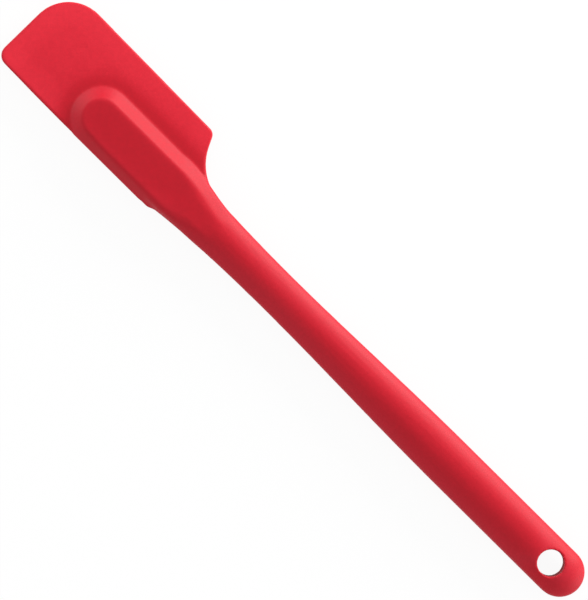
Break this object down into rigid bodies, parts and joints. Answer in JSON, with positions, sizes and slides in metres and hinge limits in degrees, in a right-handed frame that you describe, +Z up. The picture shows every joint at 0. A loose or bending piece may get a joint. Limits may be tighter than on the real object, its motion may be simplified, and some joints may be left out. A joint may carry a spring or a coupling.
{
  "type": "silicone spatula",
  "caption": "Slim silicone spatula: a flat blade with one well rounded corner, a raised bevelled ridge over a hidden stiff core, and a long oval handle with a hanging hole.",
  "frame": {"origin": "middle of the bounding box's underside", "axes": "+X along the handle, from the scraping edge to the hanging hole; +Y towards the blade's wide side; +Z up out of the face seen in the picture"},
  "size_m": [0.2799, 0.0366, 0.0104],
  "materials": {
    "silicone": "matte red food-grade silicone",
    "core_plastic": "natural glass-filled nylon, as moulded"
  },
  "bodies": {
    "root": {"skin": "silicone", "core": "core_plastic"}
  },
  "joints": []
}
